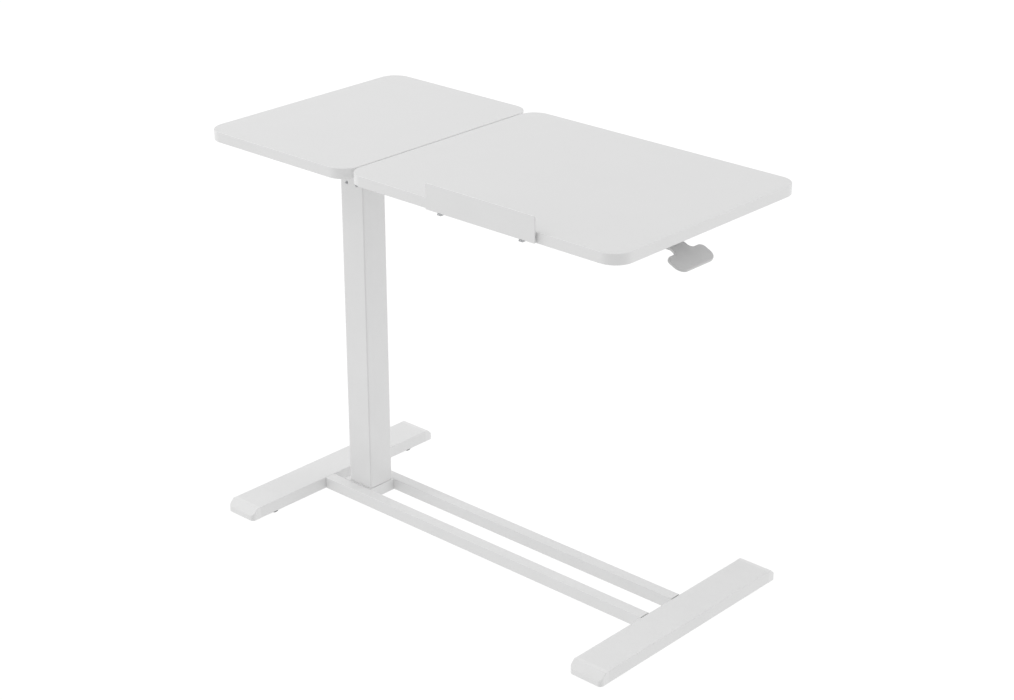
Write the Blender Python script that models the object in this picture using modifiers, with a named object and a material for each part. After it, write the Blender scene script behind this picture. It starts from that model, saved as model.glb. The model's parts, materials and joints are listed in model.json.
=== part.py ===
"""Overbed table: split laminate top, gas-spring column, release lever and a low base on hidden rollers.

Frame: +X along the top towards the lever end, +Y to the back, +Z up, metres.
The origin is on the floor, under the middle of the whole table.
"""
import math

import bmesh
import bpy
from mathutils import Matrix, Vector

# --- driving dimensions, metres ---
TOP_LENGTH = 0.800
TOP_DEPTH = 0.400
BOARD = 0.016
BOARD_CORNER = 0.030
BOARD_EDGE = 0.0010
TOP_SURFACE = 0.6453
FIXED_TOP_END = 0.298
SEAM = 0.0025
LEVER_OVERHANG = 0.007

FOOT_LENGTH = 0.412
FOOT_WIDTH = 0.0588
FOOT_INSET = 0.0087
FOOT_BOTTOM = 0.005
FOOT_HEIGHT = 0.0195
FOOT_WALL = 0.0015
NOSE_LENGTH = 0.016
NOSE_HEIGHT = 0.0092
NOSE_SLOPE = 0.0112
NOSE_CORNER = 0.0065
RAIL = 0.0195
RAIL_MIDDLE = 0.0360
RAIL_WALL = 0.0015
CROSS_BEFORE = 0.0098
CROSS_BEYOND = 0.0015
CROSS_WALL = 0.0020

COLUMN_X = 0.1270
COLUMN_WIDE = 0.0490
COLUMN_DEEP = 0.0480
COLUMN_WALL = 0.0015
COLUMN_TOP = 0.5995
INNER_WIDE = 0.0410
INNER_DEEP = 0.0400
INNER_TOP = 0.515
INNER_WALL = 0.0020
SCREW_OFFSETS = (-0.0105, 0.0115)
SCREW_Z = 0.5420

ROLLER_RADIUS = 0.0105
ROLLER_LENGTH = 0.0464
ROLLER_INWARD = 0.0019
ROLLER_Y = 0.152
TRUNNION = 0.0020
HOUSING_HALF = 0.0272
HOUSING_REACH = 0.0140
HOUSING_WALL = 0.0016
HOUSING_TOP = 0.0227

ARM_HIGH = 0.025
ARM_WIDE = 0.030
ARM_Y = 0.110
ARM_START = 0.050
FRAME_END = 0.700
FRAME_END_WIDE = 0.020
FRAME_WALL = 0.0015
BOARD_SCREWS = (0.062, 0.265)

TILT_Y = -0.165
TILT_Z = 0.620
TILT_LUGS = (0.410, 0.690)
LUG_HALF = 0.004
LUG_RADIUS = 0.006
PIN_RADIUS = 0.003
STAY_REACH = 0.120
STAY_X = 0.550
STAY_HALF = 0.080
STAY_ROD = 0.003
STAY_STEPS = (15, 25, 35, 45)

STOPPER_X = 0.564
STOPPER_LENGTH = 0.1994
STOPPER_BOTTOM = 0.6304
STOPPER_TOP = 0.6686
STOPPER_FRONT = -0.2055
STOPPER_SHEET = 0.0020
STOPPER_AXIS_Y = -0.2039
STOPPER_AXIS_Z = 0.6284
STOPPER_HINGE_SPACING = 0.149
KNUCKLE_RADIUS = 0.0017
KNUCKLE_HALF = 0.0020
FORK_HALF = 0.0030
STOPPER_PIN = 0.0008

LEVER_X = 0.738
LEVER_Y = -0.0358
LEVER_Z = 0.6067
LEVER_SHEET = 0.0045
LEVER_BEND_X = 0.768
LEVER_SLOPE = math.radians(25)
LEVER_NECK = 0.0155
PADDLE_BACK = 0.0115
PADDLE_LENGTH = 0.0425
PADDLE_HALF = 0.0385
PULL_ARM = 0.0120

CRANK_X = 0.115
CRANK_Z = 0.577
WIRE_SIDE = 0.0031
CLIP_PLACE = (0.550, -0.0175, 0.5925)
HEAD_BOTTOM = 0.530
HEAD_TOP = 0.556
ROD_RADIUS = 0.005
ROD_TOP = 0.566

GAP = 0.0003
ROUND = 24
SMALL_ROUND = 16

LEFT_END = -(TOP_LENGTH + LEVER_OVERHANG) / 2
UNDERSIDE = TOP_SURFACE - BOARD
FOOT_TOP = FOOT_BOTTOM + FOOT_HEIGHT
FRONT = -TOP_DEPTH / 2
BORE = (COLUMN_WIDE - 2 * COLUMN_WALL, COLUMN_DEEP - 2 * COLUMN_WALL)
GLIDE_OUTER = (BORE[0] - 2 * GAP, BORE[1] - 2 * GAP)
GLIDE_INNER = (INNER_WIDE + 2 * GAP, INNER_DEEP + 2 * GAP)
ARM_TOP = UNDERSIDE - GAP
PLATE_TOP = ARM_TOP - ARM_HIGH - GAP
FLAT = Matrix.Identity(3)
UPRIGHT = Matrix.Rotation(math.radians(90), 3, "X")

# --- finishes: sRGB colour, roughness, metallic ---
LAMINATE = ("F1F1F1", 0.45, 0.0)
POWDER_COAT = ("EDEDED", 0.50, 0.0)
MOULDED_WHITE = ("EBEBEB", 0.45, 0.0)
BLACK_NYLON = ("26272A", 0.55, 0.0)
ZINC = ("B9BCC0", 0.35, 1.0)
CHROME = ("D8DADD", 0.12, 1.0)
RUBBER = ("303134", 0.75, 0.0)
LEVER_COAT = ("E4E4E4", 0.42, 0.0)


def clear_scene():
    for item in list(bpy.data.objects):
        bpy.data.objects.remove(item, do_unlink=True)


def new_collection(name):
    group = bpy.data.collections.new(name)
    bpy.context.scene.collection.children.link(group)
    return group


clear_scene()
PARTS = new_collection("overbed_table")
CUTTERS = new_collection("cutters")


def along(distance):
    """X of a point at this distance from the table's left end."""
    return LEFT_END + distance


def linear(channel):
    return channel / 12.92 if channel <= 0.04045 else ((channel + 0.055) / 1.055) ** 2.4


def paint(piece, finish):
    code, roughness, metallic = finish
    rgb = [linear(int(code[i:i + 2], 16) / 255) for i in (0, 2, 4)]
    material = bpy.data.materials.new(piece.name)
    material.use_nodes = True
    shader = material.node_tree.nodes["Principled BSDF"]
    shader.inputs["Base Color"].default_value = (*rgb, 1.0)
    shader.inputs["Roughness"].default_value = roughness
    shader.inputs["Metallic"].default_value = metallic
    material.diffuse_color = (*rgb, 1.0)
    piece.data.materials.append(material)


def smooth(mesh):
    mesh.shade_smooth()
    mesh.set_sharp_from_angle(angle=math.radians(35))


def place_mesh(name, bm, place, finish, rounded=False):
    """Make an object of a bmesh; with no finish it is a cutter."""
    mesh = bpy.data.meshes.new(name)
    bm.to_mesh(mesh)
    bm.free()
    piece = bpy.data.objects.new(name, mesh)
    piece.location = place
    if finish is None:
        CUTTERS.objects.link(piece)
        piece.hide_render = True
        piece.display_type = "WIRE"
    else:
        PARTS.objects.link(piece)
        paint(piece, finish)
        if rounded:
            smooth(mesh)
    return piece


def block(name, low, high, finish=None, edge=0.0, steps=2):
    """A box between two corners, its edges rounded by a Bevel modifier."""
    size = [h - l for l, h in zip(low, high)]
    bm = bmesh.new()
    bmesh.ops.create_cube(bm, size=1.0, matrix=Matrix.Diagonal((*size, 1.0)))
    piece = place_mesh(name, bm, [(l + h) / 2 for l, h in zip(low, high)], finish)
    if edge:
        soften(piece, edge, steps)
    return piece


def soften(piece, width, steps=2):
    bevel = piece.modifiers.new("edges", "BEVEL")
    bevel.width = width
    bevel.segments = steps
    bevel.limit_method = "ANGLE"
    bevel.angle_limit = math.radians(40)


def rod(name, start, end, radius, finish=None, sides=SMALL_ROUND):
    """A straight round bar between two points."""
    start, end = Vector(start), Vector(end)
    reach = end - start
    turn = reach.to_track_quat("Z", "Y").to_matrix().to_4x4()
    bm = bmesh.new()
    bmesh.ops.create_cone(bm, cap_ends=True, segments=sides, radius1=radius, radius2=radius,
                          depth=reach.length, matrix=turn)
    return place_mesh(name, bm, (start + end) / 2, finish, rounded=True)


def turned(name, profile, place, finish, steps=SMALL_ROUND):
    """A turned piece: a profile of (radius, height), down its outer side, spun by a Screw modifier."""
    bm = bmesh.new()
    points = [bm.verts.new((radius, 0.0, height)) for radius, height in profile]
    for first, second in zip(points, points[1:]):
        bm.edges.new((first, second))
    piece = place_mesh(name, bm, place, finish)
    screw = piece.modifiers.new("turn", "SCREW")
    screw.steps = steps
    screw.render_steps = steps
    screw.use_merge_vertices = True
    screw.merge_threshold = 0.00001
    screw.use_smooth_shade = True
    return piece


def carve(piece, *cutters):
    for cutter in cutters:
        boolean = piece.modifiers.new(cutter.name, "BOOLEAN")
        boolean.operation = "DIFFERENCE"
        boolean.solver = "EXACT"
        boolean.object = cutter


def weld(piece, *additions):
    for addition in additions:
        boolean = piece.modifiers.new(addition.name, "BOOLEAN")
        boolean.operation = "UNION"
        boolean.solver = "EXACT"
        boolean.object = addition


def pivot(name, place, parent=None):
    """An empty on a joint's axis; moving pieces hang from it."""
    empty = bpy.data.objects.new(name, None)
    empty.empty_display_size = 0.02
    PARTS.objects.link(empty)
    empty.location = place
    if parent:
        hang(empty, parent)
    return empty


def world_place(item):
    place = item.location.copy()
    while item.parent:
        item = item.parent
        place += item.location
    return place


def hang(piece, empty):
    piece.location = piece.location - world_place(empty)
    piece.parent = empty
    return piece


def arc_corner(before, corner, after, radius, steps):
    """Points of the round corner that joins two straight runs."""
    back = (before - corner).normalized()
    ahead = (after - corner).normalized()
    half = back.angle(ahead) / 2
    reach = radius / math.tan(half)
    centre = corner + (back + ahead).normalized() * (radius / math.sin(half))
    first = corner + back * reach - centre
    last = corner + ahead * reach - centre
    sweep = first.angle(last)
    points = []
    for step in range(steps + 1):
        share = step / steps
        near = math.sin((1 - share) * sweep) / math.sin(sweep)
        far = math.sin(share * sweep) / math.sin(sweep)
        points.append(centre + first * near + last * far)
    return points


def rounded_outline(corners, steps):
    """A closed outline from (x, y, radius) corners."""
    points = []
    count = len(corners)
    for i, (x, y, radius) in enumerate(corners):
        before = Vector((*corners[i - 1][:2], 0))
        after = Vector((*corners[(i + 1) % count][:2], 0))
        points += arc_corner(before, Vector((x, y, 0)), after, radius, steps)
    return points


def plate(name, outline, thickness, place, turn, finish, rim=0.0):
    """A flat sheet: a filled 2D curve, extruded by half its thickness, made a mesh."""
    curve = bpy.data.curves.new(name, "CURVE")
    curve.dimensions = "2D"
    curve.fill_mode = "BOTH"
    curve.extrude = thickness / 2
    curve.resolution_u = 1
    spline = curve.splines.new("POLY")
    spline.points.add(len(outline) - 1)
    for point, at in zip(spline.points, outline):
        point.co = (at.x, at.y, 0.0, 1.0)
    spline.use_cyclic_u = True
    return curve_to_mesh(name, curve, place, turn, finish, rim)


def curve_to_mesh(name, curve, place, turn, finish, rim=0.0):
    guide = bpy.data.objects.new(name + "_outline", curve)
    CUTTERS.objects.link(guide)
    evaluated = guide.evaluated_get(bpy.context.evaluated_depsgraph_get())
    mesh = bpy.data.meshes.new_from_object(evaluated)
    bpy.data.objects.remove(guide, do_unlink=True)
    bm = bmesh.new()
    bm.from_mesh(mesh)
    bpy.data.meshes.remove(mesh)
    bmesh.ops.remove_doubles(bm, verts=bm.verts, dist=0.00001)
    bmesh.ops.dissolve_limit(bm, angle_limit=math.radians(1), verts=bm.verts, edges=bm.edges)
    bmesh.ops.rotate(bm, verts=bm.verts, cent=(0, 0, 0), matrix=turn)
    piece = place_mesh(name, bm, place, finish)
    if rim:
        soften(piece, rim)
    return piece


def wire(name, points, radius, finish, resolution=2, thin=()):
    """A round wire along points; `thin` names the points that are drawn down to a fine wire."""
    curve = bpy.data.curves.new(name, "CURVE")
    curve.dimensions = "3D"
    curve.bevel_depth = radius
    curve.bevel_resolution = resolution
    curve.use_fill_caps = True
    spline = curve.splines.new("POLY")
    spline.points.add(len(points) - 1)
    for i, (point, at) in enumerate(zip(spline.points, points)):
        point.co = (*at, 1.0)
        point.radius = 0.3 if i in thin else 1.0
    piece = bpy.data.objects.new(name, curve)
    PARTS.objects.link(piece)
    paint(piece, finish)
    return piece


def square_tube(name, low, high, wall, axis, finish, edge):
    """A rectangular tube, open at both ends of its axis."""
    piece = block(name, low, high, finish, edge)
    inner_low = [l - wall if i == axis else l + wall for i, l in enumerate(low)]
    inner_high = [h + wall if i == axis else h - wall for i, h in enumerate(high)]
    carve(piece, block(name + "_hollow", inner_low, inner_high))
    return piece


# --- base -------------------------------------------------------------------
def foot(name, middle):
    half = FOOT_WIDTH / 2
    end = FOOT_LENGTH / 2 - NOSE_LENGTH
    tube = square_tube(name, (middle - half, -end, FOOT_BOTTOM), (middle + half, end, FOOT_TOP),
                       FOOT_WALL, 1, POWDER_COAT, 0.0015)
    for side in (-1, 1):
        slot_half = HOUSING_HALF + GAP
        y = side * ROLLER_Y
        slot = block(f"{name}_slot_{side}", (middle - slot_half, y - HOUSING_REACH - GAP, 0.0),
                     (middle + slot_half, y + HOUSING_REACH + GAP, FOOT_BOTTOM + 0.004))
        carve(tube, slot)
    return tube


def foot_cap(name, middle, side):
    """A moulded end cap: a nose with a sloping top, and a plug inside the tube."""
    half = FOOT_WIDTH / 2
    inner_y = FOOT_LENGTH / 2 - NOSE_LENGTH + GAP
    outer_y = FOOT_LENGTH / 2
    profile = [(inner_y, FOOT_BOTTOM), (outer_y, FOOT_BOTTOM), (outer_y, FOOT_BOTTOM + NOSE_HEIGHT),
               (outer_y - NOSE_SLOPE, FOOT_TOP), (inner_y, FOOT_TOP)]
    bm = bmesh.new()
    face = bm.faces.new([bm.verts.new((-half, side * y, z)) for y, z in profile])
    swept = bmesh.ops.extrude_face_region(bm, geom=[face])["geom"]
    far = [g for g in swept if isinstance(g, bmesh.types.BMVert)]
    bmesh.ops.translate(bm, vec=(FOOT_WIDTH, 0, 0), verts=far)
    bmesh.ops.recalc_face_normals(bm, faces=bm.faces)
    upright = [e for e in bm.edges if abs(e.verts[0].co.z - e.verts[1].co.z) > NOSE_HEIGHT / 2
               and all(v.co.y * side > outer_y - 0.001 for v in e.verts)]
    bmesh.ops.bevel(bm, geom=upright, offset=NOSE_CORNER, segments=4, profile=0.5, affect="EDGES")
    cap = place_mesh(name, bm, (middle, 0, 0), MOULDED_WHITE)
    soften(cap, 0.0010, 1)
    inside = FOOT_WALL + GAP
    ends = sorted((side * (inner_y - 0.014), side * (inner_y + 0.004)))
    plug = block(name + "_plug", (middle - half + inside, ends[0], FOOT_BOTTOM + inside),
                 (middle + half - inside, ends[1], FOOT_TOP - inside))
    weld(cap, plug)
    return cap


def caster_housing(name, middle, wheel, y):
    """A moulded pocket, open below, with a bearing hole in each end wall; the wheel sits off its middle."""
    piece = block(name, (middle - HOUSING_HALF, y - HOUSING_REACH, FOOT_BOTTOM),
                  (middle + HOUSING_HALF, y + HOUSING_REACH, HOUSING_TOP), BLACK_NYLON)
    inside = ROLLER_LENGTH / 2 + 0.0004
    pocket = block(name + "_pocket", (wheel - inside, y - HOUSING_REACH + HOUSING_WALL, 0.0),
                   (wheel + inside, y + HOUSING_REACH - HOUSING_WALL, HOUSING_TOP - 0.001))
    bore = rod(name + "_bore", (middle - 0.04, y, ROLLER_RADIUS), (middle + 0.04, y, ROLLER_RADIUS),
               TRUNNION + 0.0004)
    carve(piece, pocket, bore)
    return piece


def roller(name, middle, y):
    """A roller with its own trunnions; it turns about X in the housing."""
    half = ROLLER_LENGTH / 2
    chamfer = 0.0008
    stub = half + 0.0016
    profile = [(0, stub), (TRUNNION, stub), (TRUNNION, half), (ROLLER_RADIUS - chamfer, half),
               (ROLLER_RADIUS, half - chamfer)]
    profile += [(radius, -height) for radius, height in reversed(profile)]
    axle = pivot(name + "_axis", (middle, y, ROLLER_RADIUS))
    piece = turned(name, profile, (middle, y, ROLLER_RADIUS), RUBBER, steps=ROUND)
    piece.rotation_euler = (0.0, math.pi / 2, 0.0)
    return hang(piece, axle)


def base():
    feet = {"left": along(FOOT_INSET + FOOT_WIDTH / 2),
            "right": along(TOP_LENGTH - FOOT_INSET - FOOT_WIDTH / 2)}
    for side, middle in feet.items():
        wheel = middle + (ROLLER_INWARD if side == "left" else -ROLLER_INWARD)
        foot("foot_" + side, middle)
        for end, direction in (("front", -1), ("rear", 1)):
            foot_cap(f"foot_cap_{side}_{end}", middle, direction)
            caster_housing(f"caster_housing_{side}_{end}", middle, wheel, direction * ROLLER_Y)
            roller(f"roller_{side}_{end}", wheel, direction * ROLLER_Y)
    start = feet["left"] + FOOT_WIDTH / 2 + GAP
    end = feet["right"] - FOOT_WIDTH / 2 - 0.0010
    for name, direction in (("rail_front", -1), ("rail_rear", 1)):
        y = direction * RAIL_MIDDLE
        square_tube(name, (start, y - RAIL / 2, FOOT_BOTTOM), (end, y + RAIL / 2, FOOT_TOP),
                    RAIL_WALL, 0, POWDER_COAT, 0.0015)
    crossbar()
    column_inner()
    glide_upper()
    spring_cylinder()


def crossbar():
    """The short cross tube between the rails that carries the column."""
    reach = RAIL_MIDDLE - RAIL / 2 - GAP
    centre = along(COLUMN_X)
    half = COLUMN_WIDE / 2
    piece = square_tube("crossbar", (centre - half - CROSS_BEFORE, -reach, FOOT_BOTTOM),
                        (centre + half + CROSS_BEYOND, reach, FOOT_TOP), CROSS_WALL, 1, POWDER_COAT, 0.0008)
    bolt_hole = rod("crossbar_bolt_hole", (centre, 0, 0.015), (centre, 0, 0.03), 0.0045)
    access_hole = rod("crossbar_access_hole", (centre, 0, 0.0), (centre, 0, 0.012), 0.009)
    carve(piece, bolt_hole, access_hole)
    head_top = FOOT_TOP - CROSS_WALL - GAP
    head_bottom = head_top - 0.005
    profile = [(0, 0.036), (0.004, 0.036), (0.004, head_top), (0.0065, head_top), (0.0065, head_bottom),
               (0, head_bottom)]
    turned("spring_base_bolt", profile, (centre, 0, 0), ZINC)


def column_inner():
    middle = along(COLUMN_X)
    square_tube("column_inner", (middle - INNER_WIDE / 2, -INNER_DEEP / 2, FOOT_TOP + GAP),
                (middle + INNER_WIDE / 2, INNER_DEEP / 2, INNER_TOP), INNER_WALL, 2, POWDER_COAT, 0.002)


def sleeve(name, low_z, high_z, outer, inner, finish):
    middle = along(COLUMN_X)
    piece = block(name, (middle - outer[0] / 2, -outer[1] / 2, low_z),
                  (middle + outer[0] / 2, outer[1] / 2, high_z), finish, 0.0015)
    carve(piece, block(name + "_hollow", (middle - inner[0] / 2, -inner[1] / 2, low_z - 0.01),
                       (middle + inner[0] / 2, inner[1] / 2, high_z + 0.01)))
    return piece


def glide_upper():
    """A plastic collar on the inner tube's top, with a lip over its end."""
    lip = 0.0025
    piece = sleeve("glide_upper", INNER_TOP - 0.035, INNER_TOP + lip, GLIDE_OUTER, (0.034, 0.033),
                   BLACK_NYLON)
    middle = along(COLUMN_X)
    half_x, half_y = GLIDE_INNER[0] / 2, GLIDE_INNER[1] / 2
    carve(piece, block("glide_upper_seat", (middle - half_x, -half_y, INNER_TOP - 0.05),
                       (middle + half_x, half_y, INNER_TOP + GAP)))


def spring_cylinder():
    """The gas spring's pressure tube, with a closed foot and a gland at its top."""
    bottom = FOOT_TOP + GAP
    top = 0.490
    bolt = 0.0043
    profile = [(0, 0.045), (0.010, 0.045), (0.010, top - 0.008), (ROD_RADIUS + GAP, top - 0.008),
               (ROD_RADIUS + GAP, top), (0.011, top), (0.011, bottom), (bolt, bottom), (bolt, 0.037),
               (0, 0.037)]
    turned("spring_cylinder", profile, (along(COLUMN_X), 0, 0), BLACK_NYLON)


# --- lifting column and frame --------------------------------------------------
def column_outer(lift):
    middle = along(COLUMN_X)
    half_x, half_y = COLUMN_WIDE / 2, COLUMN_DEEP / 2
    piece = square_tube("column_outer", (middle - half_x, -half_y, FOOT_TOP + GAP),
                        (middle + half_x, half_y, COLUMN_TOP), COLUMN_WALL, 2, POWDER_COAT, 0.0025)
    for offset in SCREW_OFFSETS:
        carve(piece, rod("column_screw_hole", (middle + offset, -half_y - 0.01, SCREW_Z),
                         (middle + offset, -half_y + 0.01, SCREW_Z), 0.0020))
    carve(piece, rod("crank_hole", (along(CRANK_X), -0.04, CRANK_Z), (along(CRANK_X), 0.04, CRANK_Z),
                     0.0024))
    wire_z = CRANK_Z + PULL_ARM
    carve(piece, rod("wire_hole", (middle + half_x - 0.01, WIRE_SIDE, wire_z),
                     (middle + half_x + 0.01, WIRE_SIDE, wire_z), 0.0016))
    hang(piece, lift)
    low = FOOT_TOP + 0.004
    hang(sleeve("glide_lower", low, low + 0.035, GLIDE_OUTER, GLIDE_INNER, BLACK_NYLON), lift)


def spring_head(lift):
    """The block that holds the spring's rod in the top of the lifting column, and its two screws."""
    middle = along(COLUMN_X)
    half_x, half_y = BORE[0] / 2 - GAP, BORE[1] / 2 - GAP
    head = block("spring_head", (middle - half_x, -half_y, HEAD_BOTTOM),
                 (middle + half_x, half_y, HEAD_TOP), ZINC, 0.001, 1)
    carve(head, rod("rod_hole", (middle, 0, HEAD_BOTTOM - 0.01), (middle, 0, HEAD_TOP + 0.01),
                    ROD_RADIUS + GAP))
    face = -COLUMN_DEEP / 2
    for offset, side in zip(SCREW_OFFSETS, ("left", "right")):
        x = middle + offset
        carve(head, rod("thread", (x, -half_y - 0.01, SCREW_Z), (x, -half_y + 0.010, SCREW_Z), 0.0019))
        profile = [(0, 0.0014), (0.0017, 0.0011), (0.0025, 0.0002), (0.0025, 0), (0.0015, 0),
                   (0.0015, -0.0105), (0, -0.0105)]
        screw = turned("column_screw_" + side, profile, (x, face - GAP, SCREW_Z), ZINC)
        screw.rotation_euler = (math.pi / 2, 0, 0)
        hang(screw, lift)
    hang(head, lift)


def spring_rod(lift):
    """The gas spring's rod with its piston, and a bore at its top for the release pin."""
    bore, depth = 0.0023, 0.547
    piston, foot_z = 0.0096, 0.087
    profile = [(0, depth), (bore, depth), (bore, ROD_TOP), (ROD_RADIUS, ROD_TOP),
               (ROD_RADIUS, foot_z + 0.010), (piston, foot_z + 0.010), (piston, foot_z), (0, foot_z)]
    hang(turned("spring_rod", profile, (along(COLUMN_X), 0, 0), CHROME), lift)
    middle = along(COLUMN_X)
    nut = rod("rod_nut", (middle, 0, HEAD_TOP + GAP), (middle, 0, HEAD_TOP + 0.006), 0.0088, ZINC, sides=6)
    carve(nut, rod("rod_nut_hole", (middle, 0, HEAD_TOP - 0.01), (middle, 0, HEAD_TOP + 0.02),
                   ROD_RADIUS + GAP))
    hang(nut, lift)


def release_parts(lift):
    """The bell crank on its cross pin, and the spring's release pin under it."""
    x = along(CRANK_X)
    crank_axis = pivot("release_crank_axis", (x, 0, CRANK_Z), lift)
    hub = rod("release_crank", (x, -0.0236, CRANK_Z), (x, 0.0236, CRANK_Z), 0.0020, ZINC)
    boss = rod("crank_boss", (x, -0.002, CRANK_Z), (x, 0.002, CRANK_Z), 0.0045)
    press = block("crank_press_arm", (along(CRANK_X - 0.001), -0.002, CRANK_Z - 0.0066),
                  (along(CRANK_X + 0.017), 0.002, CRANK_Z + 0.0004))
    pull = block("crank_pull_arm", (along(CRANK_X - 0.003), -0.0019, CRANK_Z - 0.001),
                 (along(CRANK_X + 0.003), 0.0019, CRANK_Z + PULL_ARM + 0.003))
    weld(hub, boss, press, pull)
    hang(hub, crank_axis)
    pin_low, pin_high = 0.553, CRANK_Z - 0.0070
    pin = rod("release_pin", (along(COLUMN_X), 0, pin_low), (along(COLUMN_X), 0, pin_high), 0.0020, ZINC)
    pin_axis = pivot("release_pin_axis", (along(COLUMN_X), 0, pin_high), lift)
    hang(pin, pin_axis)


def support_frame(lift):
    """Column head plate, two arms, the end tube, the hinge lugs and the notched stay rail."""
    middle = along(COLUMN_X)
    head = block("head_plate", (middle - 0.052, -0.122, COLUMN_TOP + GAP),
                 (middle + 0.052, 0.122, PLATE_TOP), POWDER_COAT, 0.001, 1)
    hang(head, lift)
    for name, y in (("arm_front", -ARM_Y), ("arm_rear", ARM_Y)):
        arm = square_tube(name, (along(ARM_START), y - ARM_WIDE / 2, ARM_TOP - ARM_HIGH),
                          (along(FRAME_END) - GAP, y + ARM_WIDE / 2, ARM_TOP), FRAME_WALL, 0,
                          POWDER_COAT, 0.002)
        for x in BOARD_SCREWS:
            carve(arm, rod("board_screw_hole", (along(x), y, ARM_TOP - ARM_HIGH - 0.01),
                           (along(x), y, ARM_TOP + 0.01), 0.0025))
        hang(arm, lift)
    reach = ARM_Y + ARM_WIDE / 2
    end = square_tube("frame_end", (along(FRAME_END), -reach, ARM_TOP - ARM_HIGH),
                      (along(FRAME_END) + FRAME_END_WIDE, reach, ARM_TOP), FRAME_WALL, 1, POWDER_COAT, 0.002)
    hang(end, lift)
    stay_rail(lift)
    for side, x in zip(("left", "right"), TILT_LUGS):
        hinge_lug("hinge_lug_" + side, along(x), lift)


def hinge_lug(name, x, lift):
    """A flat bar on the front arm, with a round eye on the tilting axis."""
    back = -ARM_Y - ARM_WIDE / 2 - GAP
    bar = block(name, (x - LUG_HALF, TILT_Y, TILT_Z - LUG_RADIUS),
                (x + LUG_HALF, back, TILT_Z + LUG_RADIUS), POWDER_COAT)
    inset = LUG_HALF - 0.00001
    eye = rod(name + "_eye", (x - inset, TILT_Y, TILT_Z), (x + inset, TILT_Y, TILT_Z), LUG_RADIUS - 0.00002)
    weld(bar, eye)
    carve(bar, rod(name + "_hole", (x - 0.02, TILT_Y, TILT_Z), (x + 0.02, TILT_Y, TILT_Z),
                   PIN_RADIUS + GAP))
    hang(bar, lift)


def stay_rail(lift):
    """The flat rail under the stay; its notches hold the stay's cross rod at each angle."""
    reach = ARM_Y - ARM_WIDE / 2 - GAP
    top = TILT_Z - STAY_ROD - 0.0005
    rail = block("stay_rail", (along(STAY_X) - 0.003, -reach, ARM_TOP - ARM_HIGH),
                 (along(STAY_X) + 0.003, reach, top), POWDER_COAT)
    for angle in STAY_STEPS:
        y = TILT_Y + 2 * STAY_REACH * math.cos(math.radians(angle))
        carve(rail, block(f"notch_{angle}", (along(STAY_X) - 0.01, y - 0.0036, top - 0.003),
                          (along(STAY_X) + 0.01, y + 0.0036, top + 0.01)))
    hang(rail, lift)


def board(name, start, end):
    """A laminated board with round corners and a soft rim."""
    size = (end - start, TOP_DEPTH, BOARD)
    bm = bmesh.new()
    bmesh.ops.create_cube(bm, size=1.0, matrix=Matrix.Diagonal((*size, 1.0)))
    upright = [e for e in bm.edges if abs(e.verts[0].co.z - e.verts[1].co.z) > BOARD / 2]
    bmesh.ops.bevel(bm, geom=upright, offset=BOARD_CORNER, segments=8, profile=0.5, affect="EDGES")
    piece = place_mesh(name, bm, (along((start + end) / 2), 0, TOP_SURFACE - BOARD / 2), LAMINATE)
    soften(piece, BOARD_EDGE)
    return piece


def fixed_top(lift):
    top = board("top_fixed", 0.0, FIXED_TOP_END)
    for x in BOARD_SCREWS:
        for y, row in ((-ARM_Y, "front"), (ARM_Y, "rear")):
            head_z = ARM_TOP - ARM_HIGH
            tip = UNDERSIDE + 0.010
            side = "outer" if x == BOARD_SCREWS[0] else "inner"
            carve(top, rod("pilot", (along(x), y, UNDERSIDE - 0.01), (along(x), y, tip + 0.001), 0.0024))
            low = head_z - 0.0026
            profile = [(0, tip), (0.0020, tip - 0.003), (0.0020, head_z - GAP), (0.0045, head_z - GAP),
                       (0.0036, low), (0, low)]
            hang(turned(f"board_screw_{side}_{row}", profile, (along(x), y, 0), ZINC), lift)
    hang(top, lift)


# --- release lever and its cable -----------------------------------------------
def release_lever(lift):
    """The squeeze paddle on its cross pin: neck, sloping paddle, pivot boss and pull arm."""
    axis = pivot("release_lever_axis", (along(LEVER_X), LEVER_Y, LEVER_Z), lift)
    neck = LEVER_BEND_X - LEVER_X
    back = neck + PADDLE_BACK
    outer = neck + PADDLE_LENGTH
    half = [(-0.003, LEVER_NECK, 0.001), (back, LEVER_NECK, 0.007), (back, PADDLE_HALF, 0.0085),
            (outer, PADDLE_HALF, 0.014)]
    corners = half + [(x, -y, radius) for x, y, radius in reversed(half)]
    place = (along(LEVER_X), LEVER_Y, LEVER_Z)
    lever = plate("release_lever", rounded_outline(corners, 5), LEVER_SHEET, place, FLAT, LEVER_COAT)
    bend_sheet(lever.data, neck)
    soften(lever, 0.0011)
    lever.modifiers.new("facets", "TRIANGULATE")
    boss = rod("lever_boss", (along(LEVER_X), LEVER_Y - LEVER_NECK + 0.0005, LEVER_Z),
               (along(LEVER_X), LEVER_Y + LEVER_NECK - 0.0005, LEVER_Z), 0.0048)
    pull = block("lever_pull_arm", (along(LEVER_X) - 0.0025, LEVER_Y - 0.0019, LEVER_Z - PULL_ARM - 0.0017),
                 (along(LEVER_X) + 0.0025, LEVER_Y + 0.0019, LEVER_Z))
    weld(lever, boss, pull)
    carve(lever, rod("lever_pin_hole", (along(LEVER_X), LEVER_Y - 0.03, LEVER_Z),
                     (along(LEVER_X), LEVER_Y + 0.03, LEVER_Z), 0.0023))
    hang(lever, axis)
    lever_bracket(lift)


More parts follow.
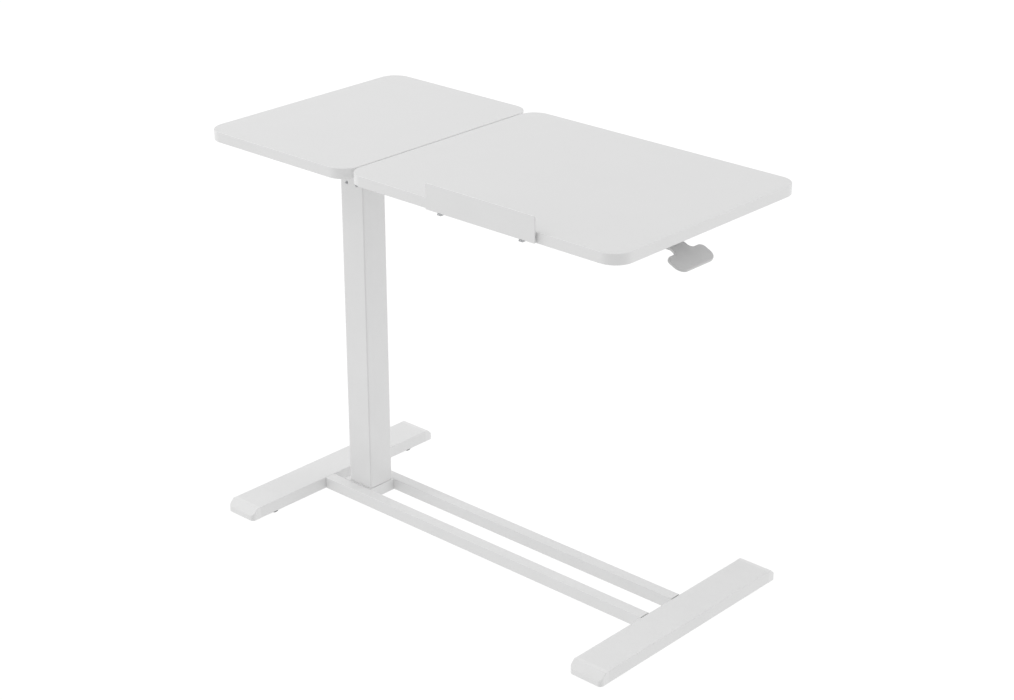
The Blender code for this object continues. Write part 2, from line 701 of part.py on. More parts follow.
def bend_sheet(mesh, at_x):
    """Fold the sheet's outer part down about a line across it."""
    bm = bmesh.new()
    bm.from_mesh(mesh)
    everything = bm.verts[:] + bm.edges[:] + bm.faces[:]
    bmesh.ops.bisect_plane(bm, geom=everything, dist=0.000001, plane_co=(at_x, 0, 0), plane_no=(1, 0, 0))
    outer = [v for v in bm.verts if v.co.x > at_x + 0.00001]
    bmesh.ops.rotate(bm, verts=outer, cent=(at_x, 0, 0), matrix=Matrix.Rotation(LEVER_SLOPE, 3, "Y"))
    bm.to_mesh(mesh)
    bm.free()


def lever_bracket(lift):
    """A folded bracket on the end tube: a back plate that also stops the cable, and two ears for the pin."""
    face = along(FRAME_END) + FRAME_END_WIDE + GAP
    inner = LEVER_NECK + 0.0006
    outer = inner + 0.0020
    bracket = block("lever_bracket", (face, LEVER_Y - outer, 0.5905),
                    (face + 0.0020, LEVER_Y + outer, ARM_TOP - GAP), ZINC)
    for side in (-1, 1):
        ends = sorted((LEVER_Y + side * inner, LEVER_Y + side * outer))
        ear = block(f"lever_ear_{side}", (face + 0.0010, ends[0], LEVER_Z - 0.006),
                    (along(LEVER_X) + 0.006, ends[1], LEVER_Z + 0.006))
        weld(bracket, ear)
    carve(bracket, rod("ear_hole", (along(LEVER_X), LEVER_Y - 0.03, LEVER_Z),
                       (along(LEVER_X), LEVER_Y + 0.03, LEVER_Z), 0.0023))
    wire_y, wire_z = LEVER_Y + WIRE_SIDE, LEVER_Z - PULL_ARM
    stop_hole = rod("cable_stop_hole", (face - 0.01, wire_y, wire_z), (face + 0.01, wire_y, wire_z), 0.0016)
    carve(bracket, stop_hole)
    hang(bracket, lift)
    pin = rod("lever_pin", (along(LEVER_X), LEVER_Y - outer - 0.0015, LEVER_Z),
              (along(LEVER_X), LEVER_Y + outer + 0.0015, LEVER_Z), 0.0020, ZINC)
    hang(pin, lift)


def smooth_route(points, steps):
    """Points on a smooth curve through the route's own points."""
    route = [Vector(p) for p in points]
    ends = [2 * route[0] - route[1]] + route + [2 * route[-1] - route[-2]]
    line = []
    for p0, p1, p2, p3 in zip(ends, ends[1:], ends[2:], ends[3:]):
        for step in range(steps):
            t = step / steps
            line.append(0.5 * (2 * p1 + (p2 - p0) * t + (2 * p0 - 5 * p1 + 4 * p2 - p3) * t * t
                               + (3 * p1 - p0 - 3 * p2 + p3) * t ** 3))
    return line + [route[-1]]


def release_cable(lift):
    """The sheath from the column to the lever bracket, with the fine inner wire showing at both ends."""
    wire_z = CRANK_Z + PULL_ARM
    end_z = LEVER_Z - PULL_ARM
    column_face = along(COLUMN_X + COLUMN_WIDE / 2) + GAP
    stop = along(FRAME_END) + FRAME_END_WIDE
    end_y = LEVER_Y + WIRE_SIDE
    clip_x, clip_y, clip_z = along(CLIP_PLACE[0]), CLIP_PLACE[1], CLIP_PLACE[2]
    sheath = smooth_route([(column_face, WIRE_SIDE, wire_z), (along(0.19), WIRE_SIDE, wire_z),
                           (along(0.30), 0.001, 0.5905), (clip_x, clip_y, clip_z),
                           (along(0.64), -0.0320, 0.5945), (along(0.69), end_y, end_z),
                           (stop, end_y, end_z)], 3)
    step = Vector((0.0002, 0, 0))
    points = [(along(CRANK_X) - 0.002, WIRE_SIDE, wire_z), sheath[0] - step] + sheath
    points += [sheath[-1] + step, (along(LEVER_X) + 0.002, end_y, end_z)]
    count = len(points)
    cable = wire("release_cable", points, 0.0025, BLACK_NYLON, 2, thin=(0, 1, count - 2, count - 1))
    hang(cable, lift)
    clip = block("cable_clip", (clip_x - 0.005, clip_y - 0.006, clip_z - 0.005),
                 (clip_x + 0.005, clip_y + 0.006, ARM_TOP - ARM_HIGH - GAP), BLACK_NYLON, 0.001, 1)
    carve(clip, rod("clip_hole", (clip_x - 0.02, clip_y, clip_z), (clip_x + 0.02, clip_y, clip_z), 0.0036))
    hang(clip, lift)


# --- tilting top -----------------------------------------------------------------
def tilting_top(lift):
    tilt = pivot("tilt_axis", (along(STAY_X), TILT_Y, TILT_Z), lift)
    top = board("top_tilting", FIXED_TOP_END + SEAM, TOP_LENGTH)
    hang(top, tilt)
    for side, x in zip(("left", "right"), TILT_LUGS):
        hinge_clevis("hinge_clevis_" + side, along(x), tilt)
        pin = rod("hinge_pin_" + side, (along(x) - 0.0090, TILT_Y, TILT_Z),
                  (along(x) + 0.0090, TILT_Y, TILT_Z), PIN_RADIUS, ZINC)
        hang(pin, tilt)
    stay(tilt)
    stopper(tilt)


def hinge_clevis(name, x, tilt):
    """A folded bracket under the board: a base plate and two ears on the pin."""
    inner = LUG_HALF + 0.0005
    outer = inner + 0.0022
    top = UNDERSIDE - GAP
    piece = block(name, (x - 0.020, TILT_Y - 0.014, top - 0.0022), (x + 0.020, TILT_Y + 0.014, top),
                  POWDER_COAT, 0.0008, 1)
    for side in (-1, 1):
        low, high = sorted((x + side * inner, x + side * outer))
        ear = block(f"{name}_ear_{side}", (low, TILT_Y - LUG_RADIUS, TILT_Z),
                    (high, TILT_Y + LUG_RADIUS, top - 0.001))
        eye = rod(f"{name}_eye_{side}", (low + 0.00001, TILT_Y, TILT_Z), (high - 0.00001, TILT_Y, TILT_Z),
                  LUG_RADIUS - 0.00002)
        weld(piece, ear, eye)
    carve(piece, rod(name + "_hole", (x - 0.03, TILT_Y, TILT_Z), (x + 0.03, TILT_Y, TILT_Z),
                     PIN_RADIUS + GAP))
    hang(piece, tilt)


def stay(tilt):
    """The wire stay that props the top, and the two clips that hold its ends."""
    y = TILT_Y + STAY_REACH
    middle = along(STAY_X)
    axis = pivot("stay_axis", (middle, y, TILT_Z), tilt)
    end = STAY_HALF + 0.020
    corners = [Vector((middle + x, y + reach, TILT_Z)) for x, reach in
               ((-end, 0), (-STAY_HALF, 0), (-STAY_HALF, STAY_REACH), (STAY_HALF, STAY_REACH), (STAY_HALF, 0),
                (end, 0))]
    points = [corners[0]]
    for before, corner, after in zip(corners, corners[1:], corners[2:]):
        points += arc_corner(before, corner, after, 0.007, 4)
    points.append(corners[-1])
    hang(wire("stay", points, STAY_ROD, ZINC), axis)
    for side, direction in (("left", -1), ("right", 1)):
        x = middle + direction * (STAY_HALF + 0.0135)
        clip = block("stay_clip_" + side, (x - 0.0050, y - 0.008, TILT_Z - 0.0055),
                     (x + 0.0050, y + 0.008, UNDERSIDE - GAP), BLACK_NYLON, 0.001, 1)
        carve(clip, rod(f"stay_clip_{side}_hole", (x - 0.02, y, TILT_Z), (x + 0.02, y, TILT_Z),
                        STAY_ROD + 0.0004))
        hang(clip, tilt)


# --- book stopper ------------------------------------------------------------------
def stopper(tilt):
    """The folding book stopper: a plate with two knuckles on pins at the board's front edge."""
    axis = pivot("stopper_axis", (along(STOPPER_X), STOPPER_AXIS_Y, STOPPER_AXIS_Z), tilt)
    half = STOPPER_LENGTH / 2
    high = STOPPER_TOP - STOPPER_BOTTOM
    corners = [(-half, 0, 0.0015), (half, 0, 0.0015), (half, high, 0.0025), (-half, high, 0.0025)]
    place = (along(STOPPER_X), STOPPER_FRONT + STOPPER_SHEET / 2, STOPPER_BOTTOM)
    sheet = plate("stopper_plate", rounded_outline(corners, 4), STOPPER_SHEET, place, UPRIGHT,
                  POWDER_COAT, 0.0006)
    hang(sheet, axis)
    back = STOPPER_FRONT + STOPPER_SHEET + GAP
    for side, direction in (("left", -1), ("right", 1)):
        x = along(STOPPER_X + direction * STOPPER_HINGE_SPACING / 2)
        stopper_knuckle("stopper_knuckle_" + side, x, back, axis)
        stopper_bracket("stopper_bracket_" + side, x, tilt)


def stopper_knuckle(name, x, back, axis):
    """A round knuckle on the stopper's pin, with a pad that the plate is fixed to."""
    barrel = rod(name, (x - KNUCKLE_HALF, STOPPER_AXIS_Y, STOPPER_AXIS_Z),
                 (x + KNUCKLE_HALF, STOPPER_AXIS_Y, STOPPER_AXIS_Z), KNUCKLE_RADIUS, ZINC)
    pad = block(name + "_pad", (x - KNUCKLE_HALF + 0.00001, back, STOPPER_AXIS_Z + 0.0002),
                (x + KNUCKLE_HALF - 0.00001, FRONT - GAP, STOPPER_AXIS_Z + 0.0090))
    weld(barrel, pad)
    carve(barrel, rod(name + "_bore", (x - 0.01, STOPPER_AXIS_Y, STOPPER_AXIS_Z),
                      (x + 0.01, STOPPER_AXIS_Y, STOPPER_AXIS_Z), STOPPER_PIN + GAP))
    hang(barrel, axis)


def stopper_bracket(name, x, tilt):
    """A small fork under the board's front edge that holds the stopper's pin."""
    inner = KNUCKLE_HALF + GAP
    outer = FORK_HALF
    top = UNDERSIDE - GAP
    strap = block(name, (x - outer, STOPPER_AXIS_Y + 0.0050, top - 0.0016),
                  (x + outer, STOPPER_AXIS_Y + 0.0220, top), ZINC)
    for side in (-1, 1):
        low, high = sorted((x + side * inner, x + side * outer))
        ear = block(f"{name}_ear_{side}", (low, STOPPER_AXIS_Y, STOPPER_AXIS_Z - 0.0016),
                    (high, STOPPER_AXIS_Y + 0.0060, top - 0.0004))
        eye = rod(f"{name}_eye_{side}", (low + 0.00001, STOPPER_AXIS_Y, STOPPER_AXIS_Z),
                  (high - 0.00001, STOPPER_AXIS_Y, STOPPER_AXIS_Z), KNUCKLE_RADIUS)
        weld(strap, ear, eye)
    pin = rod(name + "_pin", (x - outer + 0.0001, STOPPER_AXIS_Y, STOPPER_AXIS_Z),
              (x + outer - 0.0001, STOPPER_AXIS_Y, STOPPER_AXIS_Z), STOPPER_PIN)
    weld(strap, pin)
    hang(strap, tilt)


def build():
    base()
    lift = pivot("lift_axis", (along(COLUMN_X), 0, FOOT_TOP))
    column_outer(lift)
    spring_head(lift)
    spring_rod(lift)
    release_parts(lift)
    support_frame(lift)
    fixed_top(lift)
    release_lever(lift)
    release_cable(lift)
    tilting_top(lift)


build()
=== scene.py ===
# %% [markdown]
# # An overbed table for a hospital ward
# The table stands at a bedside with its low base under the bed and its top over the bed.
# A gas spring in the column carries the height, and a squeeze lever under the right end lets it go.
# The short board on the left stays level for cups; the long board tilts for reading.
# This notebook loads the measured frame, then gives each visible piece the shape and finish of the real one.

# %% Load the frame
import json
import math

import bmesh
import bpy
from mathutils import Matrix, Vector

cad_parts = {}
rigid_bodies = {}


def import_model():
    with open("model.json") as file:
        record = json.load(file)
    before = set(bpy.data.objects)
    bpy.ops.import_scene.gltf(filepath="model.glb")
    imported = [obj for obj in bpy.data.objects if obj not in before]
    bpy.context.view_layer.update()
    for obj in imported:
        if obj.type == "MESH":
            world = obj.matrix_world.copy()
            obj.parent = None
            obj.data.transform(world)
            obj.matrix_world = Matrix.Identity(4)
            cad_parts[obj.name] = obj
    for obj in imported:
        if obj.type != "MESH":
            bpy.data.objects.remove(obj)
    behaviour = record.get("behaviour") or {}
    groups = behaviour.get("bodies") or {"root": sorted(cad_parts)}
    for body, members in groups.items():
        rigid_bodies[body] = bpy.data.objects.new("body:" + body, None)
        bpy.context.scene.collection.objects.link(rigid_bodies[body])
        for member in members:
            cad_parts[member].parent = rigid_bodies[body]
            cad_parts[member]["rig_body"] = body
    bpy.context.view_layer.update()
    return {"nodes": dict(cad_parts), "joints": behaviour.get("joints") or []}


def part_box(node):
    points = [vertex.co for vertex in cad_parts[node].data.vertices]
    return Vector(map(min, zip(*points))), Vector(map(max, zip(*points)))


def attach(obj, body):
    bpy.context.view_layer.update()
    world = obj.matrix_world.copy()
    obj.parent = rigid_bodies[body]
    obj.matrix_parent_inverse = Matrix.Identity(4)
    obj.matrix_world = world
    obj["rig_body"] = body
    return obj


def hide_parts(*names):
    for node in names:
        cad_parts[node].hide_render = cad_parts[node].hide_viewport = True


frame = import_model()
NODES = frame["nodes"]
MM = 0.001

# %% [markdown]
# ## Colours and nodes
# Paint makers give colours as sRGB hex codes, and Blender's shaders work in linear light.
# One function turns the code into linear light, and one adds a node with its settings and links.
# A setting in lower case is a property of the node, and one with a capital is an input socket.

# %% Colour and node helpers
def linear(code):
    """Linear RGBA of an sRGB hex code."""
    channels = [int(code[i:i + 2], 16) / 255 for i in (0, 2, 4)]
    return tuple(c / 12.92 if c <= 0.04045 else ((c + 0.055) / 1.055) ** 2.4 for c in channels) + (1.0,)


def add_node(tree, kind, links=(), **settings):
    """Add a node, set its properties and inputs, and link (input, output socket) pairs."""
    node = tree.nodes.new(kind)
    for key, value in settings.items():
        if hasattr(node, key):
            setattr(node, key, value)
        else:
            node.inputs[key.replace("_", " ")].default_value = value
    for socket, source in links:
        tree.links.new(source, node.inputs[socket])
    return node


def new_material(name, code, roughness, metallic=0.0, **sockets):
    """A material with its constant values set on the Principled shader's own sockets."""
    material = bpy.data.materials.new(name)
    material.use_nodes = True
    shader = material.node_tree.nodes["Principled BSDF"]
    shader.inputs["Base Color"].default_value = linear(code)
    shader.inputs["Roughness"].default_value = roughness
    shader.inputs["Metallic"].default_value = metallic
    for key, value in sockets.items():
        shader.inputs[key.replace("_", " ")].default_value = value
    return material, material.node_tree, shader


print("white E6E6E6 is", [round(v, 3) for v in linear("E6E6E6")], "in linear light")

# %% [markdown]
# ## The grain of a finish
# Every finish here has a relief too fine to model: the press plate's grain in laminate, the orange peel of
# powder coat, the spark-eroded skin of moulded nylon. A noise texture read in Object coordinates keeps the
# grain at one real size on every piece, and a Bump node turns it to relief of a real height.
# A second, much larger noise moves the colour and the roughness by a percent or two, as on any real batch.

# %% Grain and tone helpers
# A noise texture rarely leaves this middle part of its range.
DRIFT_LOW, DRIFT_HIGH = 0.35, 0.65


def grain(tree, shader, size_mm, height_mm, detail=2.0):
    """Relief with grains of this size and height on the shader's normal."""
    place = add_node(tree, "ShaderNodeTexCoord")
    noise = add_node(tree, "ShaderNodeTexNoise", [("Vector", place.outputs["Object"])],
                     Scale=1 / (size_mm * MM), Detail=detail, Roughness=0.5)
    bump = add_node(tree, "ShaderNodeBump", [("Height", noise.outputs["Fac"])],
                    Strength=1.0, Distance=height_mm * MM)
    tree.links.new(bump.outputs["Normal"], shader.inputs["Normal"])


def uneven(tree, shader, light, dark, size_mm, smooth, rough):
    """Slow drift between two close colours and two close roughnesses."""
    place = add_node(tree, "ShaderNodeTexCoord")
    noise = add_node(tree, "ShaderNodeTexNoise", [("Vector", place.outputs["Object"])],
                     Scale=1 / (size_mm * MM), Detail=3.0, Roughness=0.55)
    colour = add_node(tree, "ShaderNodeValToRGB", [("Fac", noise.outputs["Fac"])])
    for step, place_on_ramp, code in ((0, DRIFT_LOW, dark), (1, DRIFT_HIGH, light)):
        colour.color_ramp.elements[step].position = place_on_ramp
        colour.color_ramp.elements[step].color = linear(code)
    tree.links.new(colour.outputs["Color"], shader.inputs["Base Color"])
    gloss = add_node(tree, "ShaderNodeMapRange", [("Value", noise.outputs["Fac"])],
                     From_Min=DRIFT_LOW, From_Max=DRIFT_HIGH, To_Min=smooth, To_Max=rough)
    tree.links.new(gloss.outputs["Result"], shader.inputs["Roughness"])


print("grain and tone helpers ready")

# %% [markdown]
# ## White melamine laminate and its edge band
# The boards are particle board pressed between sheets of melamine-soaked paper.
# The press plate leaves a fine pearl grain, about half a millimetre across and a few microns deep.
# That is too fine for a view of the whole table, so it is drawn at 0.9 mm, which just shows in a close view.
# The narrow sides are covered with an ABS edge band, a little smoother than the faces. The faces' laminate is
# painted a few levels darker than the band, as painted shade on the broad tops; the real faces and edges are
# one white.

# %% Laminate and edge band
# The laminate is a few levels darker than the edge band: painted shade that takes light off the board's broad
# faces.
LAMINATE_PAINTED_SHADE, tree, shader = new_material("melamine_laminate_white_painted_shade", "E0E0E0", 0.42, IOR=1.50)
uneven(tree, shader, "E2E2E2", "E0E0E0", 90, 0.38, 0.46)
grain(tree, shader, 0.9, 0.010)

EDGE_BAND, tree, shader = new_material("abs_edge_band_white", "E7E7E7", 0.36, IOR=1.52)
uneven(tree, shader, "E8E8E8", "E6E6E6", 45, 0.33, 0.40)
grain(tree, shader, 0.6, 0.004)
print("made", LAMINATE_PAINTED_SHADE.name, "and", EDGE_BAND.name)

# %% [markdown]
# ## White powder coat
# The steel tubes are sprayed with dry powder and baked. The film flows into a soft orange peel,
# with waves of 1.5 to 2 mm and about ten microns of relief, and a satin gloss.
# The lever has a thinner coat of a greyer white, with a finer peel and more gloss; the grey is partly the
# paint's own tone and partly painted shade for the board's shadow over it.

# %% Powder coat
POWDER_COAT, tree, shader = new_material("powder_coat_satin_white", "E6E6E6", 0.34, IOR=1.50)
uneven(tree, shader, "E7E7E7", "E5E5E5", 60, 0.31, 0.37)
grain(tree, shader, 1.8, 0.012, detail=3.0)

# The lever's grey is partly painted shade, standing in for the shadow of the board above it.
LEVER_GREY_AND_SHADE, tree, shader = new_material("powder_coat_lever_grey_and_painted_shade", "CACACA", 0.40, IOR=1.50)
uneven(tree, shader, "CBCBCB", "C8C8C8", 25, 0.28, 0.33)
grain(tree, shader, 1.2, 0.008, detail=3.0)
print("made", POWDER_COAT.name, "and", LEVER_GREY_AND_SHADE.name)

# %% [markdown]
# ## Moulded plastics and rubber
# The foot noses are polypropylene, moulded in a lightly spark-eroded tool, so they are a little duller than
# the paint beside them. The housings, glides, clips and plugs are black glass-filled nylon with a coarser
# skin. The rollers' treads are dark grey rubber, which scatters light and shows hardly any gloss.
# The release cable runs in a smooth black PVC sheath.

# %% Plastics and rubber
CAP_PLASTIC, tree, shader = new_material("polypropylene_moulded_white", "EBEBEB", 0.42, IOR=1.49)
uneven(tree, shader, "ECECEC", "EAEAEA", 30, 0.38, 0.46)
grain(tree, shader, 0.7, 0.008)

NYLON, tree, shader = new_material("nylon_moulded_black", "26272A", 0.55, IOR=1.53)
uneven(tree, shader, "2A2B2E", "222326", 12, 0.50, 0.62)
grain(tree, shader, 0.5, 0.015)

RUBBER, tree, shader = new_material("rubber_tread_grey", "3A3B3D", 0.80, IOR=1.52)
uneven(tree, shader, "424345", "343538", 8, 0.74, 0.86)
grain(tree, shader, 0.4, 0.020)

CABLE_SKIN, tree, shader = new_material("pvc_cable_sheath_black", "1D1E20", 0.42, IOR=1.54)
uneven(tree, shader, "202124", "1A1B1D", 10, 0.38, 0.48)
grain(tree, shader, 0.6, 0.006)
print("made", CAP_PLASTIC.name, NYLON.name, RUBBER.name, CABLE_SKIN.name)

# %% [markdown]
# ## Metals
# Pins, screws, the stay, the lever's bracket and the stopper's knuckles are zinc plated: a neutral grey metal
# with a soft shine and faint blotches from the bath. The gas spring's rod is ground and hard chromed, so it
# is nearly a mirror. Its pressure tube is stove-enamelled black.

# %% Metals
ZINC, tree, shader = new_material("steel_zinc_plated", "B5B6B8", 0.32, metallic=1.0)
uneven(tree, shader, "BCBDBF", "ABACAE", 6, 0.26, 0.40)
grain(tree, shader, 0.5, 0.006)

CHROME, tree, shader = new_material("steel_hard_chromed", "D6D8DB", 0.08, metallic=1.0)
uneven(tree, shader, "D8DADD", "D2D4D8", 20, 0.06, 0.11)
grain(tree, shader, 0.6, 0.001)

ENAMEL, tree, shader = new_material("enamel_stoved_black", "141517", 0.28, IOR=1.52)
uneven(tree, shader, "18191B", "111214", 15, 0.24, 0.34)
grain(tree, shader, 1.2, 0.006)
print("made", ZINC.name, CHROME.name, ENAMEL.name)

# %% [markdown]
# ## Putting a piece in the scene
# A piece is modelled where it stands, in the frame's own metres, and its object stays at the origin.
# That way the grain of its finish doesn't slide when the piece is moved by its body.
# Wide flat faces next to narrow round edges shade badly with plain smooth normals, so a Weighted Normal
# modifier lets the large faces decide.

# %% Piece helper
def add_piece(name, bm, body, material, stands_for=(), sharp=40):
    """Close a bmesh into an object that rides on a body and stands for CAD nodes."""
    bmesh.ops.recalc_face_normals(bm, faces=bm.faces)
    mesh = bpy.data.meshes.new(name)
    bm.to_mesh(mesh)
    bm.free()
    for entry in (material if isinstance(material, tuple) else (material,)):
        mesh.materials.append(entry)
    mesh.shade_smooth()
    mesh.set_sharp_from_angle(angle=math.radians(sharp))
    piece = bpy.data.objects.new(name, mesh)
    bpy.context.scene.collection.objects.link(piece)
    normals = piece.modifiers.new("even_normals", "WEIGHTED_NORMAL")
    normals.keep_sharp = True
    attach(piece, body)
    if stands_for:
        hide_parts(*stands_for)
    return piece


def box_mesh(low, high):
    """A bmesh box between two corners."""
    bm = bmesh.new()
    size = [h - l for l, h in zip(low, high)]
    middle = [(h + l) / 2 for l, h in zip(low, high)]
    bmesh.ops.create_cube(bm, size=1.0, matrix=Matrix.Translation(middle) @ Matrix.Diagonal((*size, 1.0)))
    return bm


def edges_along(bm, axis):
    """The edges that run along one axis."""
    found = []
    for edge in bm.edges:
        run = edge.verts[1].co - edge.verts[0].co
        if abs(run[axis]) > 0.99 * run.length:
            found.append(edge)
    return found


def round_edges(bm, edges, radius, segments):
    bmesh.ops.bevel(bm, geom=list(edges), offset=radius, offset_type="OFFSET", segments=segments,
                    profile=0.5, affect="EDGES", clamp_overlap=True, material=-1)


def push_out(bm, faces, vec):
    """Extrude the faces as one region and move the new part."""
    raised = bmesh.ops.extrude_face_region(bm, geom=faces)["geom"]
    bmesh.ops.translate(bm, vec=vec, verts=[g for g in raised if isinstance(g, bmesh.types.BMVert)])


print("piece helpers ready")

# %% [markdown]
# ## The two boards
# A router cuts each board's corners to a 30 mm radius and breaks the rims after the edge band is glued on.
# The board could be an extruded curve, but a box with bevelled edges keeps the flat faces as single polygons:
# first the four upright edges get the big radius, then both rims get their small one.
# The side faces take the edge band's material, and the flat faces the laminate's.

# %% Boards
BOARD_CORNER = 30 * MM
BOARD_RIM = 1.0 * MM


def add_board(node, name, body):
    low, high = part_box(node)
    bm = box_mesh(low, high)
    round_edges(bm, edges_along(bm, 2), BOARD_CORNER, 14)
    rim = [e for e in bm.edges if abs(e.verts[0].co.z - e.verts[1].co.z) < 0.1 * MM]
    round_edges(bm, rim, BOARD_RIM, 3)
    for face in bm.faces:
        # The broad faces get the laminate with its painted shade, and the sides get the edge band.
        face.material_index = 0 if abs(face.normal.z) > 0.9 else 1
    return add_piece(name, bm, body, (LAMINATE_PAINTED_SHADE, EDGE_BAND), (node,))


fixed_board = add_board("top_fixed", "board_fixed", "lift")
tilting_board = add_board("top_tilting", "board_tilting", "tilt")
print("boards:", len(fixed_board.data.polygons), "and", len(tilting_board.data.polygons), "faces")

# %% [markdown]
# ## Square tubes
# The column, the rails, the feet and the frame under the top are all cold-formed tube: flat walls, small
# round corners and an open bore. A box without its two end faces, bevelled along its length and given a
# wall with Solidify, is exactly that.

# %% Tubes
def add_tube(node, name, body, axis, radius, wall, longer=(0.0, 0.0)):
    """A tube as its node stands, made longer at its low and high ends by this much."""
    low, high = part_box(node)
    low[axis] -= longer[0]
    high[axis] += longer[1]
    bm = box_mesh(low, high)
    ends = [f for f in bm.faces if abs(f.normal[axis]) > 0.9]
    bmesh.ops.delete(bm, geom=ends, context="FACES_ONLY")
    round_edges(bm, edges_along(bm, axis), radius, 5)
    bmesh.ops.recalc_face_normals(bm, faces=bm.faces)
    bmesh.ops.solidify(bm, geom=bm.faces[:], thickness=wall)
    return add_piece(name, bm, body, POWDER_COAT, (node,))


tubes = [add_tube("column_outer", "column_tube", "lift", 2, 2.5 * MM, 1.5 * MM, (0.27 * MM, 0.0)),
         add_tube("column_inner", "column_inner_tube", "base", 2, 2.0 * MM, 2.0 * MM)]
for side in ("front", "rear"):
    tubes.append(add_tube("rail_" + side, "rail_tube_" + side, "base", 0, 1.5 * MM, 1.5 * MM))
    tubes.append(add_tube("arm_" + side, "arm_tube_" + side, "lift", 0, 2.0 * MM, 1.5 * MM))
tubes.append(add_tube("frame_end", "frame_end_tube", "lift", 1, 2.0 * MM, 1.5 * MM))
tubes.append(add_tube("crossbar", "crossbar_tube", "base", 1, 0.8 * MM, 2.0 * MM, (0.25 * MM, 0.25 * MM)))
print("tubes:", ", ".join(t.name for t in tubes))

# %% [markdown]
# ## Pieces that keep the frame's own shape
# Brackets, clips, lugs and the slotted feet already have their true shape in the frame, but as loose flat
# triangles. A copy is merged and its flat triangles are dissolved into whole faces. On the head plate, the
# stay rail, the lugs and the clevises, the sharp edges are also broken a little, because no cut or moulded
# edge is a perfect knife. The frame's own node is left alone.

# %% Refined copies
def add_refined(node, name, material, break_mm=0.0, segments=2):
    bm = bmesh.new()
    bm.from_mesh(NODES[node].data)
    bmesh.ops.remove_doubles(bm, verts=bm.verts, dist=0.01 * MM)
    bmesh.ops.dissolve_limit(bm, angle_limit=math.radians(0.5), verts=bm.verts, edges=bm.edges)
    if break_mm:
        keen = [e for e in bm.edges if len(e.link_faces) == 2 and e.calc_face_angle(0) > math.radians(50)]
        round_edges(bm, keen, break_mm * MM, segments)
    return add_piece(name, bm, NODES[node]["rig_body"], material, (node,))


def node_names(start):
    return sorted(n for n in NODES if n.startswith(start))


refined = [add_refined("foot_" + side, "foot_tube_" + side, POWDER_COAT)
           for side in ("left", "right")]
for node in ("head_plate", "stay_rail", *node_names("hinge_lug"), *node_names("hinge_clevis")):
    refined.append(add_refined(node, node + "_part", POWDER_COAT, 0.3))
for node in (*node_names("caster_housing"), "glide_upper", "glide_lower", "cable_clip",
             *node_names("stay_clip")):
    refined.append(add_refined(node, node + "_part", NYLON))
for node in ("lever_bracket", "spring_head", "rod_nut", "stay", "lever_pin", "release_crank", "release_pin",
             "spring_base_bolt", *node_names("hinge_pin"), *node_names("stopper_knuckle"),
             *node_names("stopper_bracket")):
    refined.append(add_refined(node, node + "_part", ZINC))
refined.append(add_refined("spring_rod", "spring_rod_part", CHROME))
refined.append(add_refined("spring_cylinder", "spring_cylinder_part", ENAMEL))
refined.append(add_refined("release_cable", "release_cable_sheath", CABLE_SKIN))
print("refined copies:", len(refined))

# %% [markdown]
# ## The foot noses
# Each foot ends in a moulded nose whose top slopes down to a low rounded tip, so that the foot slides under
# a bed without catching. Its side profile is drawn as one face and swept across the foot; then the two
# upright corners of the tip get a 6.5 mm radius, and the creases are softened as a mould leaves them.
# The nose laps over the eased rim of the tube, which closes the seam between the two.

# %% Foot noses
NOSE_CORNER = 6.5 * MM
NOSE_SOFT = 1.0 * MM
NOSE_SLOPE = 11.2 * MM
NOSE_TIP = 9.2 * MM
NOSE_LAP = 1.5 * MM


def add_nose(node):
    """A nose swept across the foot, at the end where its node stands."""
    low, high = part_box(node)
    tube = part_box("foot_left" if "left" in node else "foot_right")
    side = 1 if high.y > 0 else -1
    inner, outer = tube[1].y - NOSE_LAP, max(abs(low.y), abs(high.y))
    profile = [(inner, low.z), (outer, low.z), (outer, low.z + NOSE_TIP),
               (outer - NOSE_SLOPE, high.z), (inner, high.z)]
    bm = bmesh.new()
    face = bm.faces.new([bm.verts.new((low.x, side * y, z)) for y, z in profile])
    push_out(bm, [face], (high.x - low.x, 0, 0))
    bmesh.ops.recalc_face_normals(bm, faces=bm.faces)
    upright = [e for e in edges_along(bm, 2) if abs(e.verts[0].co.y) > outer - MM]
    round_edges(bm, upright, NOSE_CORNER, 6)
    soft = [e for e in bm.edges if any(abs(v.co.y) > inner + 0.1 * MM for v in e.verts)
            and e.calc_face_angle(0) > math.radians(25)]
    round_edges(bm, soft, NOSE_SOFT, 3)
    return add_piece(node.replace("foot_cap", "foot_nose"), bm, "base", CAP_PLASTIC, (node,))


noses = [add_nose(node) for node in node_names("foot_cap")]
print("noses:", ", ".join(n.name for n in noses))

# %% [markdown]
# ## Turned pieces: rollers and screws
# Rollers are turned or moulded round, so a profile spun once about its axis gives them directly.
# The tread carries fine grooves, which a real one has so that it doesn't slip on a polished floor.

# %% Spin helper and rollers
def spin_mesh(profile, steps):
    """A profile of (radius, height) pairs turned once about Z."""
    bm = bmesh.new()
    verts = [bm.verts.new((radius, 0, height)) for radius, height in profile]
    edges = [bm.edges.new(pair) for pair in zip(verts, verts[1:])]
    bmesh.ops.spin(bm, geom=verts + edges, cent=(0, 0, 0), axis=(0, 0, 1), angle=2 * math.pi, steps=steps,
                   use_merge=True, use_duplicate=False)
    bmesh.ops.remove_doubles(bm, verts=bm.verts, dist=0.005 * MM)
    return bm


GROOVES = (14, 7)
GROOVE_DEEP = 0.4 * MM
GROOVE_HALF = 0.5 * MM
TRUNNION_LENGTH = 1.6 * MM
TRUNNION_RADIUS = 2 * MM


